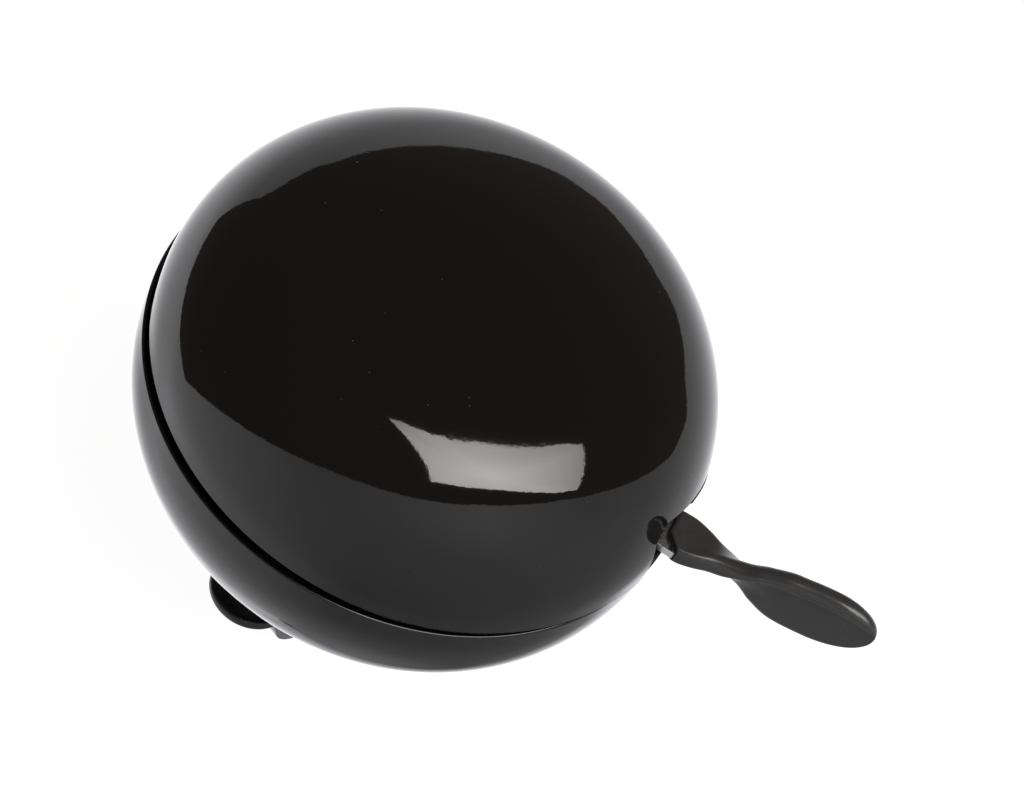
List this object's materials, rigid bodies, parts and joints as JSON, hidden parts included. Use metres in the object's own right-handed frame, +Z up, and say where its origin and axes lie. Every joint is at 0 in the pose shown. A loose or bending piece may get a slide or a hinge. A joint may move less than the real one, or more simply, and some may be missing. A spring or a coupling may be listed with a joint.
{
  "type": "bicycle bell",
  "caption": "Large two-gong handlebar bell: upper and lower domed gongs, a side thumb lever that swings the hammer between them, and a band clamp below.",
  "frame": {"origin": "centre of the handlebar clamp's bore", "axes": "+X along the handlebar, +Z up the bell's axis from the clamp to the upper gong's crown; the thumb lever points 23 degrees from +X towards +Y, and the clamp's screw is on the -Y side"},
  "size_m": [0.1052, 0.0802, 0.0885],
  "materials": {
    "gong_enamel": "gloss black enamel with slight orange peel",
    "clamp_enamel": "satin black enamel",
    "lever_plastic": "moulded, semi-gloss black",
    "zinc_steel": "bright zinc plated",
    "bush_brass": "turned",
    "black_rubber": "matte",
    "spring_steel": "drawn wire"
  },
  "bodies": {
    "clamp": {"clamp_saddle": "clamp_enamel", "liner_upper": "black_rubber", "clamp_hinge_pin": "zinc_steel", "clamp_nut": "zinc_steel", "gong_pad_outer": "black_rubber", "post_screw": "zinc_steel", "lower_gong": "gong_enamel", "lower_anvil": "zinc_steel", "gong_pad_inner": "black_rubber", "centre_post": "zinc_steel", "mechanism_plate": "zinc_steel", "striker_bush": "bush_brass", "striker_washer": "zinc_steel", "striker_nut": "zinc_steel", "jam_nut": "zinc_steel", "lever_stud": "zinc_steel", "lever_washer": "bush_brass", "lever_clip": "spring_steel", "stop_post": "zinc_steel", "stop_buffer": "black_rubber", "return_spring": "spring_steel"},
    "lever": {"thumb_lever": "lever_plastic", "lever_arm": "zinc_steel", "drive_pin": "zinc_steel"},
    "striker": {"striker_arm": "zinc_steel", "striker_hammer": "zinc_steel", "hammer_rivet": "zinc_steel"},
    "top": {"upper_gong": "gong_enamel", "gong_boss": "zinc_steel", "upper_anvil": "zinc_steel"},
    "strap": {"clamp_strap": "clamp_enamel", "liner_lower": "black_rubber"},
    "strap_screw": {"clamp_screw": "zinc_steel"}
  },
  "joints": [
    {"name": "lever_swing", "type": "hinge", "parent": "clamp", "child": "lever", "pos_m": [0.01841, 0.00782, 0.0461], "axis": [0, 0, 1], "range_deg": [-18, 0], "stiffness_Nm_per_rad": 0.15, "springref_deg": 20.05, "deforming": ["return_spring"]},
    {"name": "striker_swing", "type": "hinge", "parent": "clamp", "child": "striker", "pos_m": [0, 0, 0.0471], "axis": [0, 0, 1], "range_deg": [0, 21.43]},
    {"name": "top_lift", "type": "slide", "parent": "clamp", "child": "top", "axis": [0, 0, 1], "range_m": [0, 0.05]},
    {"name": "strap_hinge", "type": "hinge", "parent": "clamp", "child": "strap", "pos_m": [0, 0.0162, 0.0032], "axis": [1, 0, 0], "range_deg": [0, 13]},
    {"name": "strap_screw_travel", "type": "slide", "parent": "clamp", "child": "strap_screw", "axis": [0, 0, -1], "range_m": [0, 0.00831]}
  ],
  "couplings": [
    {"joint": "striker_swing", "follows": "lever_swing", "ratio": -1.1895},
    {"joint": "strap_screw_travel", "follows": "strap_hinge", "m_per_rad": 0.0366}
  ]
}
